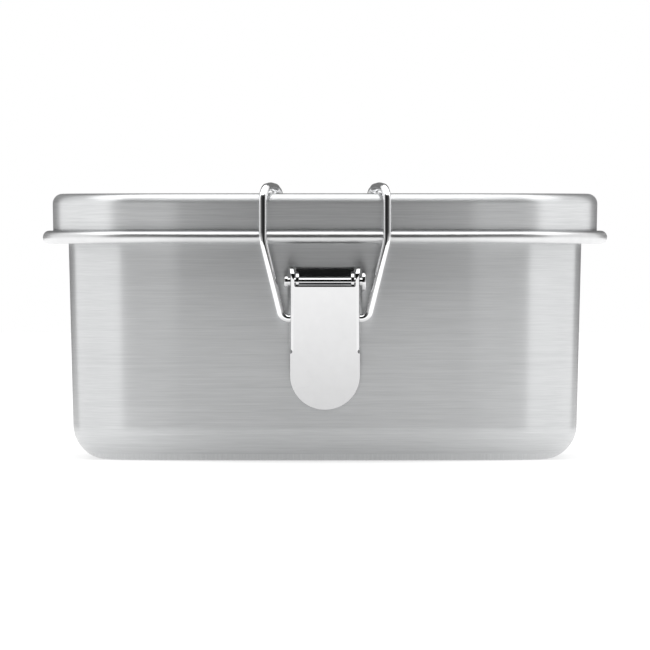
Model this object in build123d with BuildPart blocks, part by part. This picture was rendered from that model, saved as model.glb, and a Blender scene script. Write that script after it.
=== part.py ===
"""Stainless steel lunch box: a deep drawn container, a lid that lifts off, and a toggle latch
at each short end. Millimetres, +Z up, origin under the middle of the base."""
import os
from math import cos, radians, sin, tan

from build123d import *

# Container
SHEET = 0.6                # drawn steel, for the lid too
WALL_WIDTH = 123.4         # over the walls just under the rim, X
WALL_LENGTH = 163.4        # the same, Y
CORNER_RADIUS = 28.0       # in plan, at the rim
WALL_DRAFT = 1.5           # degrees, each wall leans out toward the rim
BASE_RADIUS = 8.0          # between the walls and the base
CONTAINER_HEIGHT = 60.3
CURL_RADIUS = 1.3          # rim, rolled outwards

# Lid and gasket
LID_TOP = 63.7
SKIRT_REACH = 3.7          # skirt's face, outwards from the container wall
SKIRT_LEAN = 0.2           # nearer to the wall at the bead than at the top
RIDGE_WIDTH = 5.2          # raised ring round the lid, which holds the gasket
PANEL_DROP = 5.0           # panel, below the ridge
PANEL_INSET = 3.0          # swept strip of the panel, inwards from the ridge
PANEL_BEND = 1.5           # panel to ridge
RIDGE_INNER_BEND = 1.3
RIDGE_OUTER_BEND = 2.1
BEAD_RADIUS = 1.55         # skirt's rolled edge
BEAD_HEIGHT = 53.3         # middle of that edge above the base
GASKET_HEIGHT = 2.6
GASKET_GAP = 0.3           # to each side of the gasket's channel
GASKET_TOP_ROUND = 1.6
GASKET_LIP_ROUND = 0.5

# Latches. "Reach" is outwards from the end wall, "drop" is down from the pivot along the lever
LATCH_SHEET = 0.8
PIVOT_REACH = 6.0
PIVOT_HEIGHT = 42.7
PIVOT_DIAMETER = 2.2
RUNNING_GAP = 0.1          # round a pin in its hole
BRACKET_WIDTH = 14.0
BRACKET_FOOT = 36.5
BRACKET_TOP = 45.8
EAR_RADIUS = 2.35
EAR_TOP = 41.0             # where the ears' upper edge meets the strap
SET_HEAD_RADIUS = 2.5
PEENED_RADIUS = 1.55
HEAD_HEIGHT = 0.95
HEAD_ROUND = 0.55

# Levers
LEVER_TILT = 9.0           # degrees, the closed lever leans in toward its tip
LEVER_WIDTH = 16.4
LEVER_SPLAY = 6.0          # degrees, each flange leans outwards
LEVER_BEND = 0.45
LEVER_DROP = 30.4          # pivot to tip
PLATE_OUT = 3.2            # plate's face, outwards from the pivot
PLATE_TOP_DROP = 0.8       # top edge of the plate
NOTCH_WIDTH = 14.6         # that edge, between two rounded corners
NOTCH_ROUND = 0.4
FLANGE_BACK = 2.8          # flanges' back edge, inwards from the pivot
FLANGE_TOP = 0.6           # where that edge ends and the round top begins, above the pivot
FLANGE_CORNER_DROP = 10.6  # where it ends below and the flange tapers
FLANGE_DROP = 16.4         # end of the flanges
PADDLE_WIDTH = 16.6
RELIEF_RADIUS = 0.45       # bend relief where a flange meets the paddle

# Bails
BAIL_PIVOT_DROP = 8.8
BAIL_PIVOT_OUT = 0.8
WIRE_DIAMETER = 2.0
LEG_X = 14.8               # middle of each leg beside the bead, from the bail's middle
LEG_TOP_REACH = 6.2        # legs lean in over the lid's skirt
LEG_TOP = 62.9             # and start to bend over there
FOOT_X = 10.2              # where the wire turns in to the lever
FOOT_INSIDE = 3.3          # from there to the wire's end
BAR_X = 11.1               # each end of the crossbar behind the ridge
BAR_REACH = -5.5
BAR_HEIGHT = 61.0
BAIL_TOP = 65.35           # wire's middle over the ridge
BEAD_GAP = 0.4             # bail to the lid's bead
SPARE = 9.0                # how far a cutting shape runs past what it cuts

# Worked out from them
mid = SHEET / 2            # sheet is drawn by its middle line
wall_x = WALL_WIDTH / 2
wall_y = WALL_LENGTH / 2
wall_rise = CONTAINER_HEIGHT - CURL_RADIUS
wall_lean = wall_rise * tan(radians(WALL_DRAFT))
skirt_x = wall_x + SKIRT_REACH
ridge_x = skirt_x - RIDGE_WIDTH
bead_reach = SKIRT_REACH - SKIRT_LEAN - SHEET + 2 * BEAD_RADIUS
wire_radius = WIRE_DIAMETER / 2
pivot = Vector(0, -wall_y - PIVOT_REACH, PIVOT_HEIGHT)

# Rim line: the container's wall in plan, which every rolled section follows
with BuildLine() as rim_line:
    half_rim = FilletPolyline(
        (wall_x, 0), (wall_x, wall_y), (-wall_x, wall_y), (-wall_x, 0), radius=CORNER_RADIUS
    )
    mirror(half_rim, about=Plane.XZ)
rim = rim_line.wires()[0]

# Container: base, leaning wall and outward curl as one section, with the flat base inside it
base_edge = wall_x - wall_lean - BASE_RADIUS - SHEET
with BuildPart() as container:
    with BuildSketch(Plane.XZ):
        with BuildLine():
            wall = FilletPolyline(
                (base_edge, mid),
                (wall_x - wall_lean - mid, mid),
                (wall_x - mid, wall_rise),
                radius=BASE_RADIUS - mid,
            )
            JernArc(wall @ 1, wall % 1, radius=CURL_RADIUS - mid, arc_size=-270)
        trace(line_width=SHEET)
    sweep(path=rim)
    inset = wall_x - base_edge
    with BuildSketch():
        RectangleRounded(2 * base_edge, 2 * (wall_y - inset), CORNER_RADIUS - inset)
    extrude(amount=SHEET)

# Lid: panel edge, ridge, skirt and rolled bead as one section, with the flat panel inside it
panel_top = LID_TOP - PANEL_DROP
panel_edge = ridge_x - PANEL_INSET
with BuildPart() as lid:
    with BuildSketch(Plane.XZ):
        with BuildLine():
            ridge = FilletPolyline(
                (panel_edge, panel_top - mid),
                (ridge_x + mid, panel_top - mid),
                (ridge_x + mid, LID_TOP - mid),
                (skirt_x - mid, LID_TOP - mid),
                (skirt_x - mid - SKIRT_LEAN, BEAD_HEIGHT),
                radius=[PANEL_BEND, RIDGE_INNER_BEND, RIDGE_OUTER_BEND],
            )
            JernArc(ridge @ 1, ridge % 1, radius=BEAD_RADIUS - mid, arc_size=300)
        trace(line_width=SHEET)
    sweep(path=rim)
    inset = wall_x - panel_edge
    with BuildSketch(Plane.XY.offset(panel_top - SHEET)):
        RectangleRounded(2 * panel_edge, 2 * (wall_y - inset), CORNER_RADIUS - inset)
    extrude(amount=SHEET)

# Gasket: silicone ring in the ridge's channel, over the container's curl
channel_top = LID_TOP - SHEET
gasket_outer = skirt_x - SHEET - GASKET_GAP
gasket_inner = ridge_x + SHEET + GASKET_GAP
with BuildPart() as gasket:
    with BuildSketch(Plane.XZ) as gasket_section:
        with Locations(((gasket_inner + gasket_outer) / 2, channel_top - GASKET_HEIGHT / 2)):
            Rectangle(gasket_outer - gasket_inner, GASKET_HEIGHT)
        corners = gasket_section.vertices().group_by(Axis.Y)
        fillet(corners[-1], radius=GASKET_TOP_ROUND)
        fillet(corners[0], radius=GASKET_LIP_ROUND)
    sweep(path=rim)

# Planes at the middle of the front end, local x outwards and local y up
wall_side = Plane(origin=(0, -wall_y, 0), x_dir=(0, -1, 0), z_dir=(-1, 0, 0))
tilt = radians(LEVER_TILT)
outwards = Vector(0, -cos(tilt), -sin(tilt))
lever_side = Plane(origin=pivot, x_dir=outwards, z_dir=(-1, 0, 0))
lever_face = Plane(origin=pivot, x_dir=(1, 0, 0), z_dir=outwards)
lever_section = Plane(origin=pivot, x_dir=(-1, 0, 0), z_dir=lever_side.y_dir)
bail_pivot = lever_side.from_local_coords(Vector(BAIL_PIVOT_OUT, -BAIL_PIVOT_DROP))

# Bracket: a strap welded to the end wall, with an ear at each side for the rivet. It is drawn
# solid, past the wall, then hollowed, backed by the strap and cut to the wall's slope
strap_back = -2 * wall_lean
with BuildPart() as bracket:
    with BuildSketch(wall_side):
        with BuildLine():
            CenterArc((PIVOT_REACH, PIVOT_HEIGHT), EAR_RADIUS, 0, 360)
            Line((strap_back, BRACKET_FOOT), (LATCH_SHEET, BRACKET_FOOT))
            Line((LATCH_SHEET, EAR_TOP), (strap_back, EAR_TOP))
        make_hull()
    extrude(amount=BRACKET_WIDTH / 2, both=True)
    with BuildSketch(wall_side):
        with Locations((LATCH_SHEET, 0)):
            Rectangle(2 * PIVOT_REACH, CONTAINER_HEIGHT, align=(Align.MIN, Align.MIN))
    extrude(amount=BRACKET_WIDTH / 2 - LATCH_SHEET, both=True, mode=Mode.SUBTRACT)
    with BuildSketch(wall_side):
        with Locations((LATCH_SHEET, BRACKET_FOOT)):
            Rectangle(
                LATCH_SHEET - strap_back, BRACKET_TOP - BRACKET_FOOT, align=(Align.MAX, Align.MIN)
            )
    extrude(amount=BRACKET_WIDTH / 2, both=True)
    with BuildSketch(wall_side):
        with BuildLine():
            Polyline(
                (-SPARE, 0), (-wall_lean, 0), (0, wall_rise), (-SPARE, wall_rise), close=True
            )
        make_face()
    extrude(amount=BRACKET_WIDTH, both=True, mode=Mode.SUBTRACT)
    with BuildSketch(wall_side):
        with Locations((PIVOT_REACH, PIVOT_HEIGHT)):
            Circle(PIVOT_DIAMETER / 2)
    extrude(amount=BRACKET_WIDTH, both=True, mode=Mode.SUBTRACT)


def half_width(out):
    """Half of the lever's width over its splayed flanges, at a distance out from the pivot."""
    return LEVER_WIDTH / 2 + (PLATE_OUT - out) * tan(radians(LEVER_SPLAY))


# Pivot rivet: shank, a wide set head on +X and a small peened end on -X
under_head = half_width(-SET_HEAD_RADIUS) + RUNNING_GAP
with BuildPart() as pivot_rivet:
    with Locations(Plane(origin=pivot, z_dir=(1, 0, 0))):
        Cylinder(PIVOT_DIAMETER / 2, 2 * under_head)
        with Locations((0, 0, under_head)):
            Cylinder(SET_HEAD_RADIUS, HEAD_HEIGHT, align=(Align.CENTER, Align.CENTER, Align.MIN))
        with Locations((0, 0, -under_head)):
            Cylinder(PEENED_RADIUS, HEAD_HEIGHT, align=(Align.CENTER, Align.CENTER, Align.MAX))
    ends = pivot_rivet.edges().group_by(Axis.X)
    fillet(ends[0] + ends[-1], radius=HEAD_ROUND)

# Lever: a splayed channel cut to its side outline, and a flat paddle with a round tip
half_sheet = LATCH_SHEET / 2
section_back = FLANGE_BACK + 1
with BuildPart() as lever:
    with BuildSketch(lever_section):
        with BuildLine():
            FilletPolyline(
                (half_width(-section_back) - half_sheet, -section_back),
                (half_width(PLATE_OUT) - half_sheet, PLATE_OUT - half_sheet),
                (half_sheet - half_width(PLATE_OUT), PLATE_OUT - half_sheet),
                (half_sheet - half_width(-section_back), -section_back),
                radius=LEVER_BEND,
            )
        trace(line_width=LATCH_SHEET)
    extrude(amount=LEVER_DROP, both=True)
    with BuildSketch(lever_side):
        with BuildLine():
            outline = Polyline(
                (-FLANGE_BACK, FLANGE_TOP),
                (-FLANGE_BACK, -FLANGE_CORNER_DROP),
                (PLATE_OUT - LATCH_SHEET, -FLANGE_DROP),
                (PLATE_OUT, -FLANGE_DROP),
                (PLATE_OUT, FLANGE_TOP),
            )
            TangentArc(outline @ 1, outline @ 0, tangent=outline % 1)
        make_face()
    extrude(amount=LEVER_WIDTH, both=True, mode=Mode.INTERSECT)
    with BuildSketch(lever_face):
        with Locations((0, SPARE - PLATE_TOP_DROP)):
            RectangleRounded(NOTCH_WIDTH, 2 * SPARE, NOTCH_ROUND)
    extrude(amount=2 * PLATE_OUT, mode=Mode.SUBTRACT)
    with BuildSketch(lever_face.offset(PLATE_OUT - LATCH_SHEET)):
        tip_centre = PADDLE_WIDTH / 2 - LEVER_DROP
        with Locations((0, tip_centre)):
            Circle(PADDLE_WIDTH / 2)
        with Locations((0, -FLANGE_DROP)):
            Rectangle(PADDLE_WIDTH, -FLANGE_DROP - tip_centre, align=(Align.CENTER, Align.MAX))
    extrude(amount=LATCH_SHEET)
    with BuildSketch(lever_face):
        with Locations((LEVER_WIDTH / 2, -FLANGE_DROP), (-LEVER_WIDTH / 2, -FLANGE_DROP)):
            Circle(RELIEF_RADIUS)
    extrude(amount=2 * PLATE_OUT, mode=Mode.SUBTRACT)
    with BuildSketch(lever_side):
        Circle(PIVOT_DIAMETER / 2 + RUNNING_GAP)
        with Locations((BAIL_PIVOT_OUT, -BAIL_PIVOT_DROP)):
            Circle(wire_radius + RUNNING_GAP)
    extrude(amount=LEVER_WIDTH, both=True, mode=Mode.SUBTRACT)

# Bail: one bent wire, in at one flange, up past the bead, over the ridge and back
kink_reach = bead_reach + BEAD_GAP + wire_radius
half_bail = [
    (FOOT_X - FOOT_INSIDE, bail_pivot.Y, bail_pivot.Z),
    (FOOT_X, bail_pivot.Y, bail_pivot.Z),
    (LEG_X, -wall_y - kink_reach, BEAD_HEIGHT - wire_radius / 2),
    (LEG_X, -wall_y - LEG_TOP_REACH, LEG_TOP),
    (LEG_X - 0.6, -wall_y - LEG_TOP_REACH + 1.9, BAIL_TOP - 0.35),
    ((LEG_X + BAR_X) / 2, -wall_y + 0.3, BAIL_TOP),
    (BAR_X + 0.6, -wall_y - BAR_REACH - 1.2, BAIL_TOP - 0.35),
    (BAR_X, -wall_y - BAR_REACH, LEG_TOP),
    (BAR_X, -wall_y - BAR_REACH, BAR_HEIGHT),
]
bend_radii = [2.0, 8.0, 2.5, 3.0, 12.0, 1.6, 1.5, 1.5]
with BuildPart() as bail:
    with BuildLine() as wire:
        far_half = [(-x, y, z) for x, y, z in reversed(half_bail)]
        FilletPolyline(*half_bail, *far_half, radius=bend_radii + bend_radii[::-1])
    with BuildSketch(Plane(origin=half_bail[0], z_dir=(1, 0, 0))):
        Circle(wire_radius)
    sweep(path=wire.wires()[0])

# Files: the latch is fitted at the front end and, turned half way round, at the rear
os.makedirs("parts", exist_ok=True)
for name, piece in (("container", container), ("lid", lid), ("gasket", gasket)):
    piece.part.label = name
    export_step(piece.part, f"parts/{name}.step")
latch = {"bracket": bracket, "pivot_rivet": pivot_rivet, "lever": lever, "bail": bail}
for end, turn in (("front", 0), ("rear", 180)):
    for name, piece in latch.items():
        with BuildPart() as fitted:
            add(piece.part, rotation=(0, 0, turn))
        fitted.part.label = f"{end}_{name}"
        export_step(fitted.part, f"parts/{fitted.part.label}.step")
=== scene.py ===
# %% [markdown]
# # A stainless steel lunch box
# The box is a deep drawn container, a pressed lid that lifts off and a toggle latch at each
# short end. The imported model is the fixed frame: it says where every part is and how it moves.
# Everything made here is in metres, in that same frame, with +Z up and the front latch on -Y.

# %% Load the frame
from math import pi, radians

import bmesh
import bpy
from mathutils import Matrix, Vector


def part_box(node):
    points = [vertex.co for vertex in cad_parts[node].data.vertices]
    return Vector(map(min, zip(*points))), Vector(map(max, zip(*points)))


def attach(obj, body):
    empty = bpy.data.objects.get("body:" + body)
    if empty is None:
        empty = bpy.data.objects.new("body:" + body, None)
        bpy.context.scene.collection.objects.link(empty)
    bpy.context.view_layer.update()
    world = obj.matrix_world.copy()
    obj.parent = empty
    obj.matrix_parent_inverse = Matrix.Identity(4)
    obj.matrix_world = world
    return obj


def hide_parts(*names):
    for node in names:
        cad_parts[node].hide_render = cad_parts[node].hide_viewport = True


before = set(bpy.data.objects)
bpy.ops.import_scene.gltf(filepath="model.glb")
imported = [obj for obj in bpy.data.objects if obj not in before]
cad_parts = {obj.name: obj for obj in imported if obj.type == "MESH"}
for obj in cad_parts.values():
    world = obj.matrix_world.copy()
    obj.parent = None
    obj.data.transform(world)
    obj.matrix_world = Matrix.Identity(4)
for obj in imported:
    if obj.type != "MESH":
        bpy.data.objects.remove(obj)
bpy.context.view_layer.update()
MM = 0.001
TINY = MM / 1000            # vertices nearer than this are one vertex

# %% [markdown]
# ## Camera
# The box is seen square on, from hardly above its own middle, through a very long lens. A long
# lens from far away keeps both ends of the box nearly the same size.

# %% Camera
CAMERA_DISTANCE = 4.0
PICTURE_WIDTH = 156 * MM    # what the picture spans at the widest part of the box
AIM_HEIGHT = 32.2 * MM
EYE_HEIGHT = 50 * MM
SENSOR = 36.0
CLIP_END = 20
WIDEST_Y = -53.7 * MM       # the front end of the lid's straight sides
camera_data = bpy.data.cameras.new("camera")
camera_data.sensor_width = SENSOR
camera_data.lens = SENSOR * (CAMERA_DISTANCE + WIDEST_Y) / PICTURE_WIDTH
camera_data.clip_end = CLIP_END
camera = bpy.data.objects.new("camera", camera_data)
camera.location = (0, -CAMERA_DISTANCE, EYE_HEIGHT)
aim = Vector((0, WIDEST_Y, AIM_HEIGHT)) - camera.location
camera.rotation_euler = aim.to_track_quat("-Z", "Y").to_euler()
bpy.context.scene.collection.objects.link(camera)
bpy.context.scene.camera = camera
bpy.context.scene.view_settings.view_transform = "Standard"
print("lens", round(camera_data.lens), "mm")

# %% [markdown]
# ## Shader maths
# A pattern is a chain of small sums on positions. A class that wraps a node's output lets the
# sums be written as Python does them, so that `1 - mask` adds the Math node that does it.

# %% Socket maths
class Signal:
    """A node's output. Sums on it add Math nodes; node() adds any other kind."""

    def __init__(self, socket):
        self.socket = socket
        self.tree = socket.id_data

    def node(self, kind, inputs, settings=None, out=0):
        made = self.tree.nodes.new(kind)
        for name, value in (settings or {}).items():
            setattr(made, name, value)
        for name, value in inputs.items():
            if isinstance(value, Signal):
                self.tree.links.new(value.socket, made.inputs[name])
            else:
                made.inputs[name].default_value = value
        return Signal(made.outputs[out])

    def maths(self, operation, first, second):
        return self.node("ShaderNodeMath", {0: first, 1: second}, {"operation": operation})

    def __add__(self, other):
        return self.maths("ADD", self, other)

    __radd__ = __add__

    def __mul__(self, other):
        return self.maths("MULTIPLY", self, other)

    __rmul__ = __mul__

    def __sub__(self, other):
        return self.maths("SUBTRACT", self, other)

    def __rsub__(self, other):
        return self.maths("SUBTRACT", other, self)

    def abs(self):
        return self.maths("ABSOLUTE", self, 0.0)

    def noise(self, scale, detail=2.0, roughness=0.5, stretch=(1, 1, 1)):
        """Noise between 0 and 1 here. stretch says how much finer it is on each axis."""
        turned = self.node("ShaderNodeMapping", {"Vector": self, "Scale": stretch})
        return turned.node(
            "ShaderNodeTexNoise",
            {"Vector": turned, "Scale": scale, "Detail": detail, "Roughness": roughness},
        )

    def fade(self, start, end):
        """0 up to start, 1 from end, smooth between."""
        return self.node(
            "ShaderNodeMapRange", {"Value": self, "From Min": start, "From Max": end},
            {"interpolation_type": "SMOOTHSTEP"},
        )

    def between(self, first, second):
        """A colour between two others, by this value."""
        return self.node(
            "ShaderNodeMix", {"Factor": self, "A": (*first, 1), "B": (*second, 1)},
            {"data_type": "RGBA"}, out="Result",
        )

    def bump(self, strength, distance):
        """The normal of a surface that this value raises."""
        return self.node(
            "ShaderNodeBump", {"Height": self, "Strength": strength, "Distance": distance}
        )


def object_place(tree):
    """The position in the object's own coordinates."""
    return Signal(tree.nodes.new("ShaderNodeTexCoord").outputs["Object"])


def axis_of(place, name):
    """One axis of a position."""
    return place.node("ShaderNodeSeparateXYZ", {"Vector": place}, out=name)


def metal(name, roughness, **constants):
    """A metallic material's shader and its object coordinates, and the material."""
    material = bpy.data.materials.new(name)
    material.use_nodes = True
    tree = material.node_tree
    shader = tree.nodes["Principled BSDF"]
    shader.inputs["Metallic"].default_value = 1.0
    shader.inputs["Roughness"].default_value = roughness
    for key, value in constants.items():
        shader.inputs[key.replace("_", " ")].default_value = value
    return material, shader, object_place(tree)


def feed(shader, **signals):
    """Joins signals to the shader's sockets."""
    for key, value in signals.items():
        value.tree.links.new(value.socket, shader.inputs[key.replace("_", " ")])


print("shader maths ready")

# %% [markdown]
# ## A white studio
# Steel shows the room more than itself. The room is white, with a softbox overhead and a floor
# that glows as a light table does. It glows less under and before the box, which leaves a soft
# shade there. A grey card bends round the camera's side: it is lightest at its foot, and its
# ends make the sharp edges in the round corners. A second card stands behind. A small dark card
# stands close before the latch and gives the walls their dark middle: it fades out at both
# sides. The camera sees through all three cards, which show only in reflections.

# %% Floor, cards and lights
FLOOR_TONE = 0.30
FLOOR_GLOW = 0.46           # next to the box
FLOOR_GLOW_RISE = 0.36      # how much more it glows further off
FLOOR_RISE = (0.08, 0.26)   # from here to here
FLOOR_SIDEWAYS = (3.2, 1, 1)    # the rise is this much quicker to the sides
FLOOR_HALF = 6
FRONT_GLOW = 0.56           # at the front card's foot
FRONT_GLOW_DROP = 0.47
FRONT_DROP = (0.01, 0.15)   # heights between which its glow drops
FRONT_CARD = {"radius": 0.40, "height": 0.44, "middle": 0, "half_angle": radians(59.5)}
REAR_CARD = {"radius": 0.60, "height": 0.90, "middle": pi, "half_angle": radians(46)}
REAR_GLOW = 0.20
CARD_STEPS = 48
DARK_GLOW = 0.01
DARK_CORE = 14 * MM         # half as wide as the part that isn't faded
DARK_CARD_WIDTH = 124 * MM
DARK_CARD_HEIGHT = 100 * MM
DARK_CARD_PLACE = (0, -0.160, 0.086)
SOFTBOX_PLACE = (0, -0.175, 0.60)
SOFTBOX_SIZE = (1.6, 0.75)
SOFTBOX_POWER = 4.8
BLACK, WHITE = (0, 0, 0), (1, 1, 1)
studio = bpy.data.collections.new("studio")
bpy.context.scene.collection.children.link(studio)


def plain(name, colour, glow):
    """A plain glowing studio surface, with its shader and object coordinates."""
    material = bpy.data.materials.new(name)
    material.use_nodes = True
    shader = material.node_tree.nodes["Principled BSDF"]
    shader.inputs["Base Color"].default_value = (colour, colour, colour, 1)
    shader.inputs["Roughness"].default_value = 0.9
    shader.inputs["Specular IOR Level"].default_value = 0.0
    shader.inputs["Emission Color"].default_value = (1, 1, 1, 1)
    shader.inputs["Emission Strength"].default_value = glow
    return material, shader, object_place(material.node_tree)


def stand(mesh, name, material):
    """A studio object from a bmesh: it isn't part of the lunch box."""
    data = bpy.data.meshes.new(name)
    mesh.to_mesh(data)
    mesh.free()
    data.materials.append(material)
    piece = bpy.data.objects.new(name, data)
    studio.objects.link(piece)
    return piece


def only_reflected(card):
    """Hides a card from everything but reflections."""
    card.visible_camera = False
    card.visible_diffuse = False
    card.visible_shadow = False


def curved_card(name, material, radius, height, middle, half_angle):
    """A card standing on the floor, bent round the box."""
    mesh = bmesh.new()
    foot = mesh.verts.new((0, -radius, 0))
    turn = Matrix.Rotation(middle - half_angle, 3, "Z")
    bmesh.ops.rotate(mesh, verts=[foot], matrix=turn)
    head = mesh.verts.new(foot.co + Vector((0, 0, height)))
    edge = mesh.edges.new((foot, head))
    bmesh.ops.spin(
        mesh, geom=[foot, head, edge], cent=(0, 0, 0), axis=(0, 0, 1),
        angle=2 * half_angle, steps=CARD_STEPS, use_duplicate=False,
    )
    only_reflected(stand(mesh, name, material))


def flat_card(name, size, middle, material):
    """An upright card that faces the box."""
    mesh = bmesh.new()
    bmesh.ops.create_grid(mesh, x_segments=1, y_segments=1, size=0.5)
    bmesh.ops.scale(mesh, verts=mesh.verts, vec=(size[0], size[1], 1))
    bmesh.ops.rotate(mesh, verts=mesh.verts, matrix=Matrix.Rotation(radians(-90), 3, "X"))
    bmesh.ops.translate(mesh, verts=mesh.verts, vec=middle)
    only_reflected(stand(mesh, name, material))


floor_mesh = bmesh.new()
bmesh.ops.create_grid(floor_mesh, x_segments=1, y_segments=1, size=FLOOR_HALF)
white_floor, floor_shader, floor_place = plain("white_floor", FLOOR_TONE, glow=1.0)
stretched = floor_place.node(
    "ShaderNodeMapping", {"Vector": floor_place, "Scale": FLOOR_SIDEWAYS}
)
away = stretched.node(
    "ShaderNodeVectorMath", {0: stretched}, {"operation": "LENGTH"}, out="Value"
)
glowing = FLOOR_GLOW + FLOOR_GLOW_RISE * away.fade(*FLOOR_RISE)
feed(floor_shader, Emission_Color=glowing.between(BLACK, WHITE))
stand(floor_mesh, "floor", white_floor)

front_card, front_shader, front_place = plain("front_card", 0.0, glow=1.0)
shaded = FRONT_GLOW - FRONT_GLOW_DROP * axis_of(front_place, "Z").fade(*FRONT_DROP)
feed(front_shader, Emission_Color=shaded.between(BLACK, WHITE))
curved_card("front_card", front_card, **FRONT_CARD)
curved_card("rear_card", plain("rear_card", 0.0, glow=REAR_GLOW)[0], **REAR_CARD)
dark_card, dark_shader, dark_place = plain("dark_card", 0.0, glow=DARK_GLOW)
sideways = axis_of(dark_place, "X").abs()
feed(dark_shader, Alpha=1 - sideways.fade(DARK_CORE, DARK_CARD_WIDTH / 2))
flat_card("dark_card", (DARK_CARD_WIDTH, DARK_CARD_HEIGHT), DARK_CARD_PLACE, dark_card)

world = bpy.data.worlds.new("white_room")
bpy.context.scene.world = world
world.use_nodes = True
world.node_tree.nodes["Background"].inputs["Color"].default_value = (1, 1, 1, 1)
world.node_tree.nodes["Background"].inputs["Strength"].default_value = 1.0

lamp = bpy.data.lights.new("top_softbox", "AREA")
lamp.shape = "RECTANGLE"
lamp.size, lamp.size_y = SOFTBOX_SIZE
lamp.energy = SOFTBOX_POWER
softbox = bpy.data.objects.new("top_softbox", lamp)
softbox.location = SOFTBOX_PLACE
softbox.visible_camera = False
studio.objects.link(softbox)

# %% [markdown]
# ## Brushed steel
# The walls are finished with an abrasive belt that runs round the box. Each grain of grit leaves
# a hairline, long round the box and very thin across it, so light spreads up and down but
# hardly sideways: that is anisotropy. Noise that is stretched along the walls gives the
# hairlines their small differences of tone, gloss and depth, and a much broader noise gives the
# bands where the belt was pressed harder. The lid's skirt also has a fold above its bead, and a
# thin line of painted shade darkens the steel's colour there. The flat panels are brushed one
# way only, and more lightly.

# %% Brushed steel
# A crease takes a band of painted shade in the steel's colour. These set its size and how dark
# it gets.
CREASE_CORE = 0.15 * MM     # half as high as the darkest part of a crease
CREASE_EDGE = 0.4 * MM
CREASE_SHADE_TONE = 0.1
BEAD_TOP = 54.8 * MM        # where the lid's skirt goes down behind its bead
ALONG, ACROSS = 28, 1700    # how fine the hairlines are, per metre
HAIR_DEPTH = 0.04 * MM
CLOUDS = 18.0
GLOSS_CHANGE = 0.10         # between fresh and worn steel
ROUND_THE_BOX = {"Anisotropic": 0.85, "Anisotropic_Rotation": 0.25}
ONE_WAY = {"Anisotropic": 0.3}


def painted_crease_shade(place, crease):
    """Painted shade: 1 on open steel and near 0 at the height of a crease, where shade falls."""
    off = (axis_of(place, "Z") - crease).abs().fade(CREASE_CORE, CREASE_EDGE)
    return CREASE_SHADE_TONE + (1 - CREASE_SHADE_TONE) * off


def brushed_steel(name, stretch, roughness, dark, light, crease=None, **constants):
    """Satin steel. stretch is large across the hairlines and small along them."""
    material, shader, place = metal(name, roughness, **constants)
    hairs = place.noise(1.0, detail=3.0, roughness=0.7, stretch=stretch)
    dashes = place.noise(5.0, detail=2.0, stretch=stretch)
    clouds = place.noise(CLOUDS, detail=3.0)
    wear_and_shade = 0.4 * hairs + 0.35 * dashes + 0.25 * clouds
    # painted shade: a thin dark band in the colour at the crease's height, which also dulls it
    if crease:
        wear_and_shade = wear_and_shade * painted_crease_shade(place, crease)
    feed(
        shader,
        Base_Color=wear_and_shade.between(dark, light),
        Roughness=roughness - GLOSS_CHANGE / 2 + GLOSS_CHANGE * (1 - wear_and_shade),
        Normal=hairs.bump(0.10, HAIR_DEPTH),
    )
    return material


wall_steel = brushed_steel(
    "wall_steel", (ALONG, ALONG, ACROSS), 0.31,
    dark=(0.41, 0.42, 0.425), light=(0.81, 0.815, 0.82), **ROUND_THE_BOX,
)
# the skirt takes a line of painted shade in the fold above its bead
skirt_steel = brushed_steel(
    "skirt_steel", (ALONG, ALONG, ACROSS), 0.36,
    dark=(0.38, 0.39, 0.395), light=(0.95, 0.955, 0.96), crease=BEAD_TOP, **ROUND_THE_BOX,
)
flat_steel = brushed_steel(
    "flat_steel", (ACROSS, ALONG, ALONG), 0.33,
    dark=(0.46, 0.47, 0.475), light=(0.84, 0.845, 0.85), **ONE_WAY,
)
print("brushed", wall_steel.name, skirt_steel.name, flat_steel.name)

# %% [markdown]
# ## Polished steel
# The latches are tumbled bright and the wire is drawn bright, so both mirror the room. A mirror
# is never quite flat: the press leaves faint waves, handling leaves a bloom and a few rub marks
# that are duller. The rolled edges are polished less, by the roller that forms them, and keep
# marks that run along them.

# %% Polished steel
WAVES, BLOOM = 90.0, 420.0
WAVE_DEPTH = 0.04 * MM
EVEN_MIDDLE, EVEN_RANGE = 0.375, 0.25   # keeps an edge's tone even between its creases


def polished_steel(name, roughness, stretch, dark, light, ripple=0.3, crease=None):
    """Bright steel: faint waves from the press, a bloom of fine wear and a few rub marks."""
    material, shader, place = metal(name, roughness)
    waves = place.noise(WAVES, detail=1.0)
    bloom = place.noise(BLOOM, detail=3.0, roughness=0.6)
    rubs = place.noise(1.0, detail=3.0, roughness=0.6, stretch=stretch)
    tone = 0.6 * bloom + 0.4 * waves
    # painted shade: at the crease's height the colour darkens, which on the bead moves its
    # highlight lower
    if crease:
        tone = (EVEN_MIDDLE + EVEN_RANGE * tone) * painted_crease_shade(place, crease)
    feed(
        shader,
        Base_Color=tone.between(dark, light),
        Roughness=roughness + 0.05 * rubs.fade(0.55, 0.75) + 0.04 * bloom,
        Normal=waves.bump(ripple, WAVE_DEPTH),
    )
    return material


latch_steel = polished_steel(
    "latch_steel", 0.05, (900, 900, 60), dark=(0.66, 0.66, 0.665), light=(0.74, 0.74, 0.745),
)
# the bead's top takes painted crease shade, so its highlight sits lower
bead_steel = polished_steel(
    "bead_steel", 0.30, (40, 40, 1500), dark=(0.42, 0.425, 0.43), light=(1.0, 1.0, 1.0),
    crease=BEAD_TOP - CREASE_CORE,
)
wire_steel = polished_steel(
    "wire_steel", 0.04, (1800, 1800, 80), dark=(0.82, 0.82, 0.825), light=(0.90, 0.90, 0.905),
    ripple=0.15,
)
print("polished", latch_steel.name, bead_steel.name, wire_steel.name)

# %% [markdown]
# ## Silicone
# The gasket is moulded from translucent white silicone. Light goes a little way in and comes out
# again, which softens it, and its sticky skin holds fine dust that roughens it unevenly.

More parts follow.
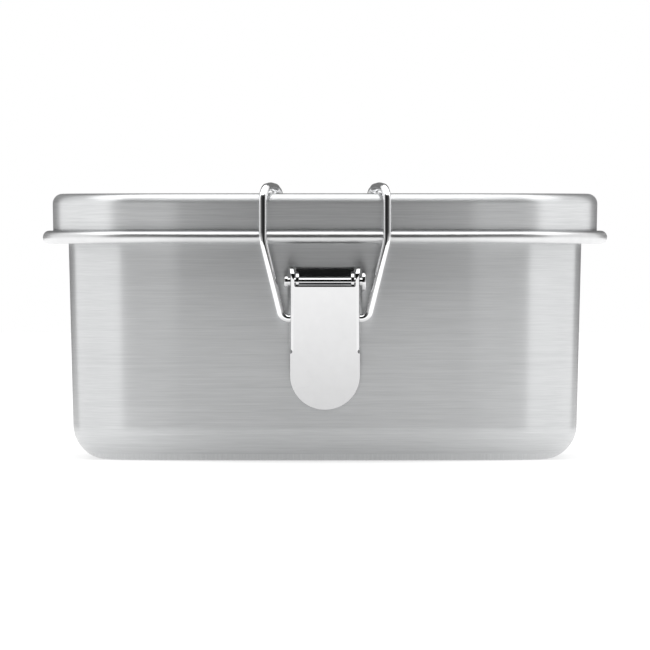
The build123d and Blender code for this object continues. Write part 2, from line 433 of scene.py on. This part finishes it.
# %% Silicone
silicone, silicone_shader, silicone_place = metal("silicone", 0.5)
silicone_shader.inputs["Metallic"].default_value = 0.0
silicone_shader.inputs["Subsurface Weight"].default_value = 0.3
silicone_shader.inputs["Subsurface Scale"].default_value = 2 * MM
milky = silicone_place.noise(60.0, detail=3.0)
dust = silicone_place.noise(2500.0, detail=2.0)
feed(
    silicone_shader,
    Base_Color=milky.between((0.74, 0.75, 0.75), (0.86, 0.87, 0.87)),
    Roughness=0.38 + 0.25 * dust,
    Normal=dust.bump(0.2, 0.03 * MM),
)
print("rubber", silicone.name)

# %% [markdown]
# ## Drawn sheet
# Both big pieces are one sheet of steel pressed to a section that is the same all round a
# rounded rectangle. So each is drawn as a section: a line with rounded corners, rolled at its
# end. One quarter of the box is made from it, straight along the side, spun round the corner and
# straight to the middle of the end, and two mirrors make the rest.

# %% Sizes that both share
SHEET = 0.6 * MM
CORNER_RADIUS = 28 * MM
WALL_LEAN = 1.545 * MM      # how much further out the wall is at the rim than at the base
CURL_RADIUS = 1.3 * MM
CORNER_STEPS = 36
BEND_STEPS = 10
ROLL_STEPS = 30
SMOOTH_BELOW = radians(38)  # edges with less of an angle than this are shaded smooth
FLAT_FROM = 0.8             # faces whose normal is this upright are part of a flat panel
container_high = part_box("container")[1]
lid_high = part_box("lid")[1]
wall = Vector((1, 1, 0)) * (SHEET - 2 * CURL_RADIUS) + container_high
corner = (wall.x - CORNER_RADIUS, wall.y - CORNER_RADIUS, 0)
print("wall at the rim", [round(c, 5) for c in wall], "corner centre", corner)


# %% Section, roll and the way round the box
def section(points, bends):
    """A line through points (x, z), with its inner corners rounded. Also its last vertex."""
    mesh = bmesh.new()
    line = [mesh.verts.new((x, 0, z)) for x, z in points]
    for start, end in zip(line, line[1:]):
        mesh.edges.new((start, end))
    for turn, radius in zip(line[1:-1], bends):
        bmesh.ops.bevel(
            mesh, geom=[turn], offset=radius, offset_type="OFFSET", affect="VERTICES",
            segments=BEND_STEPS, profile=0.5, material=-1,
        )
    return mesh, line[-1]


def roll(mesh, end, radius, angle):
    """Rolls the sheet on from its end, outwards. A positive angle turns it down over."""
    bmesh.ops.spin(
        mesh, geom=[end], cent=end.co + Vector((radius, 0, 0)), axis=(0, 1, 0),
        angle=angle, steps=ROLL_STEPS, use_duplicate=False,
    )


def only(kind, items):
    """The vertices, or the edges, among mixed items."""
    return [g for g in items if isinstance(g, kind)]


def pull(mesh, edges, way):
    """Extrudes edges and moves the new ones."""
    made = bmesh.ops.extrude_edge_only(mesh, edges=edges)["geom"]
    bmesh.ops.translate(mesh, verts=only(bmesh.types.BMVert, made), vec=way)
    return only(bmesh.types.BMEdge, made)


def round_the_box(mesh):
    """Carries a section round a quarter of the box, and mirrors that twice."""
    side = pull(mesh, mesh.edges[:], (0, corner[1], 0))
    ends = {v for e in side for v in e.verts}
    turned = bmesh.ops.spin(
        mesh, geom=[*ends, *side], cent=corner, axis=(0, 0, 1), angle=radians(90),
        steps=CORNER_STEPS, use_duplicate=False,
    )["geom_last"]
    pull(mesh, only(bmesh.types.BMEdge, turned), (-corner[0], 0, 0))
    for axis in "XY":
        bmesh.ops.mirror(
            mesh, geom=mesh.verts[:] + mesh.edges[:] + mesh.faces[:], axis=axis,
            merge_dist=TINY,
        )
    bmesh.ops.remove_doubles(mesh, verts=mesh.verts, dist=TINY)


def sheet(mesh, middle_height, downwards):
    """Fills the flat middle and gives the sheet its thickness, below the drawn face or above."""
    round_the_box(mesh)
    hole = [
        e for e in mesh.edges
        if e.is_boundary and all(abs(v.co.z - middle_height) < TINY for v in e.verts)
    ]
    middle = bmesh.ops.contextual_create(mesh, geom=hole)["faces"][0]
    bmesh.ops.recalc_face_normals(mesh, faces=mesh.faces)
    if (middle.normal.z > 0) != downwards:
        bmesh.ops.reverse_faces(mesh, faces=mesh.faces)
    bmesh.ops.solidify(mesh, geom=mesh.faces[:], thickness=SHEET)


def finished(name, mesh, body, nodes, materials, pick=None):
    """Makes a bmesh a piece of the box. pick says which material each face takes."""
    for face in mesh.faces:
        face.smooth = True
        if pick:
            face.material_index = pick(face)
    data = bpy.data.meshes.new(name)
    mesh.to_mesh(data)
    mesh.free()
    data.set_sharp_from_angle(angle=SMOOTH_BELOW)
    for material in materials:
        data.materials.append(material)
    piece = bpy.data.objects.new(name, data)
    bpy.context.scene.collection.objects.link(piece)
    flats = piece.modifiers.new("even_flats", "WEIGHTED_NORMAL")
    flats.keep_sharp = True
    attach(piece, body)
    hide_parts(*nodes)
    print(name, len(data.polygons), "faces, box", [round(d / MM, 2) for d in piece.dimensions])


print("section tools ready")

# %% [markdown]
# ## Container
# A press draws the container from one flat sheet, which leaves a generous radius round the base
# and walls that lean out a little. Its cut rim would be sharp, so it is rolled outwards, and the
# lid's gasket sits on that roll. The drawn line is the sheet's outer face.

# %% Container
BASE_RADIUS = 8 * MM
RIM_ROLL = radians(265)
RIM_FINISH = 1 * MM         # how far below the roll its polish goes
roll_start = container_high.z - CURL_RADIUS
base_line = [
    (corner[0], 0),
    (wall.x - WALL_LEAN, 0),
    (wall.x, roll_start),
]
container_mesh, rim_end = section(base_line, [BASE_RADIUS])
roll(container_mesh, rim_end, CURL_RADIUS - SHEET, RIM_ROLL)
sheet(container_mesh, 0, downwards=False)


def container_finish(face):
    if face.calc_center_median().z > roll_start - RIM_FINISH:
        return 2
    return 1 if abs(face.normal.z) > FLAT_FROM else 0


finished(
    "container_body", container_mesh, "container", ["container"],
    [wall_steel, flat_steel, bead_steel], container_finish,
)

# %% [markdown]
# ## Lid
# The lid is pressed from the same sheet. Its panel sits below a raised ring, so boxes stack, and
# the ring's underside is the channel that the gasket lies in. The skirt comes down round the
# container's rim and ends in a roll, which stiffens it and gives fingers something to pull. The
# drawn line is the top face.

# %% Lid
RIDGE_WIDTH = 5.2 * MM
PANEL_DROP = 5.0 * MM
PANEL_INSET = 3.0 * MM
SKIRT_REACH = 3.7 * MM
SKIRT_LEAN = 0.2 * MM
PANEL_BEND, RIDGE_INNER_BEND, RIDGE_OUTER_BEND = 1.2 * MM, 1.6 * MM, 2.4 * MM
BEAD_RADIUS = 1.55 * MM
BEAD_HEIGHT = 53.3 * MM
BEAD_ROLL = radians(-300)
skirt = wall.x + SKIRT_REACH
panel_height = lid_high.z - PANEL_DROP
lid_line = [
    (skirt - RIDGE_WIDTH - PANEL_INSET, panel_height),
    (skirt - RIDGE_WIDTH, panel_height),
    (skirt - RIDGE_WIDTH, lid_high.z),
    (skirt, lid_high.z),
    (skirt - SKIRT_LEAN, BEAD_HEIGHT),
]
lid_mesh, skirt_end = section(lid_line, [PANEL_BEND, RIDGE_INNER_BEND, RIDGE_OUTER_BEND])
roll(lid_mesh, skirt_end, BEAD_RADIUS - SHEET, BEAD_ROLL)
sheet(lid_mesh, panel_height, downwards=True)


def lid_finish(face):
    if face.calc_center_median().z < BEAD_HEIGHT + BEAD_RADIUS:
        return 2
    return 1 if abs(face.normal.z) > FLAT_FROM else 0


finished(
    "lid_shell", lid_mesh, "lid", ["lid"],
    [skirt_steel, flat_steel, bead_steel], lid_finish,
)

# %% [markdown]
# ## Latches
# The lever and the bracket are stamped from sheet, which leaves edges that a tumbler then eases,
# and those small rounds catch the light. Their shapes are the frame's own, so each is a copy of
# its node, joined into one skin, with its sharp edges bevelled.

# %% Stamped pieces with eased edges
EASE = 0.12 * MM
EASE_STEPS = 3
FLAT_WITHIN = radians(0.5)  # faces this close to one plane become one face
SHARP_FROM = radians(35)    # edges with more of an angle than this are eased


def eased(node_name, piece_name, body):
    """A copy of a CAD node whose sharp edges are rounded."""
    mesh = bmesh.new()
    mesh.from_mesh(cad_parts[node_name].data)
    bmesh.ops.remove_doubles(mesh, verts=mesh.verts, dist=TINY)
    bmesh.ops.dissolve_limit(
        mesh, angle_limit=FLAT_WITHIN, verts=mesh.verts, edges=mesh.edges, delimit=set()
    )
    sharp = [e for e in mesh.edges if e.is_manifold and e.calc_face_angle() > SHARP_FROM]
    bmesh.ops.bevel(
        mesh, geom=sharp, offset=EASE, offset_type="OFFSET", affect="EDGES",
        segments=EASE_STEPS, profile=0.5, material=-1, clamp_overlap=True,
    )
    finished(piece_name, mesh, body, [node_name], [latch_steel])


for end in ("front", "rear"):
    eased(f"{end}_lever", f"{end}_lever_plate", f"{end}_lever")
    eased(f"{end}_bracket", f"{end}_bracket_strap", "container")

# %% [markdown]
# ## Finishes for the frame's own pieces
# The rivets, the bent wires and the gasket keep the frame's shapes, which are already smooth,
# and take their finishes from here.

# %% Rivets, wires and gasket
kept = {"pivot_rivet": latch_steel, "bail": wire_steel, "gasket": silicone}
for name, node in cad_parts.items():
    for part, material in kept.items():
        if name.endswith(part):
            node.data.materials.clear()
            node.data.materials.append(material)
            print(name, material.name)
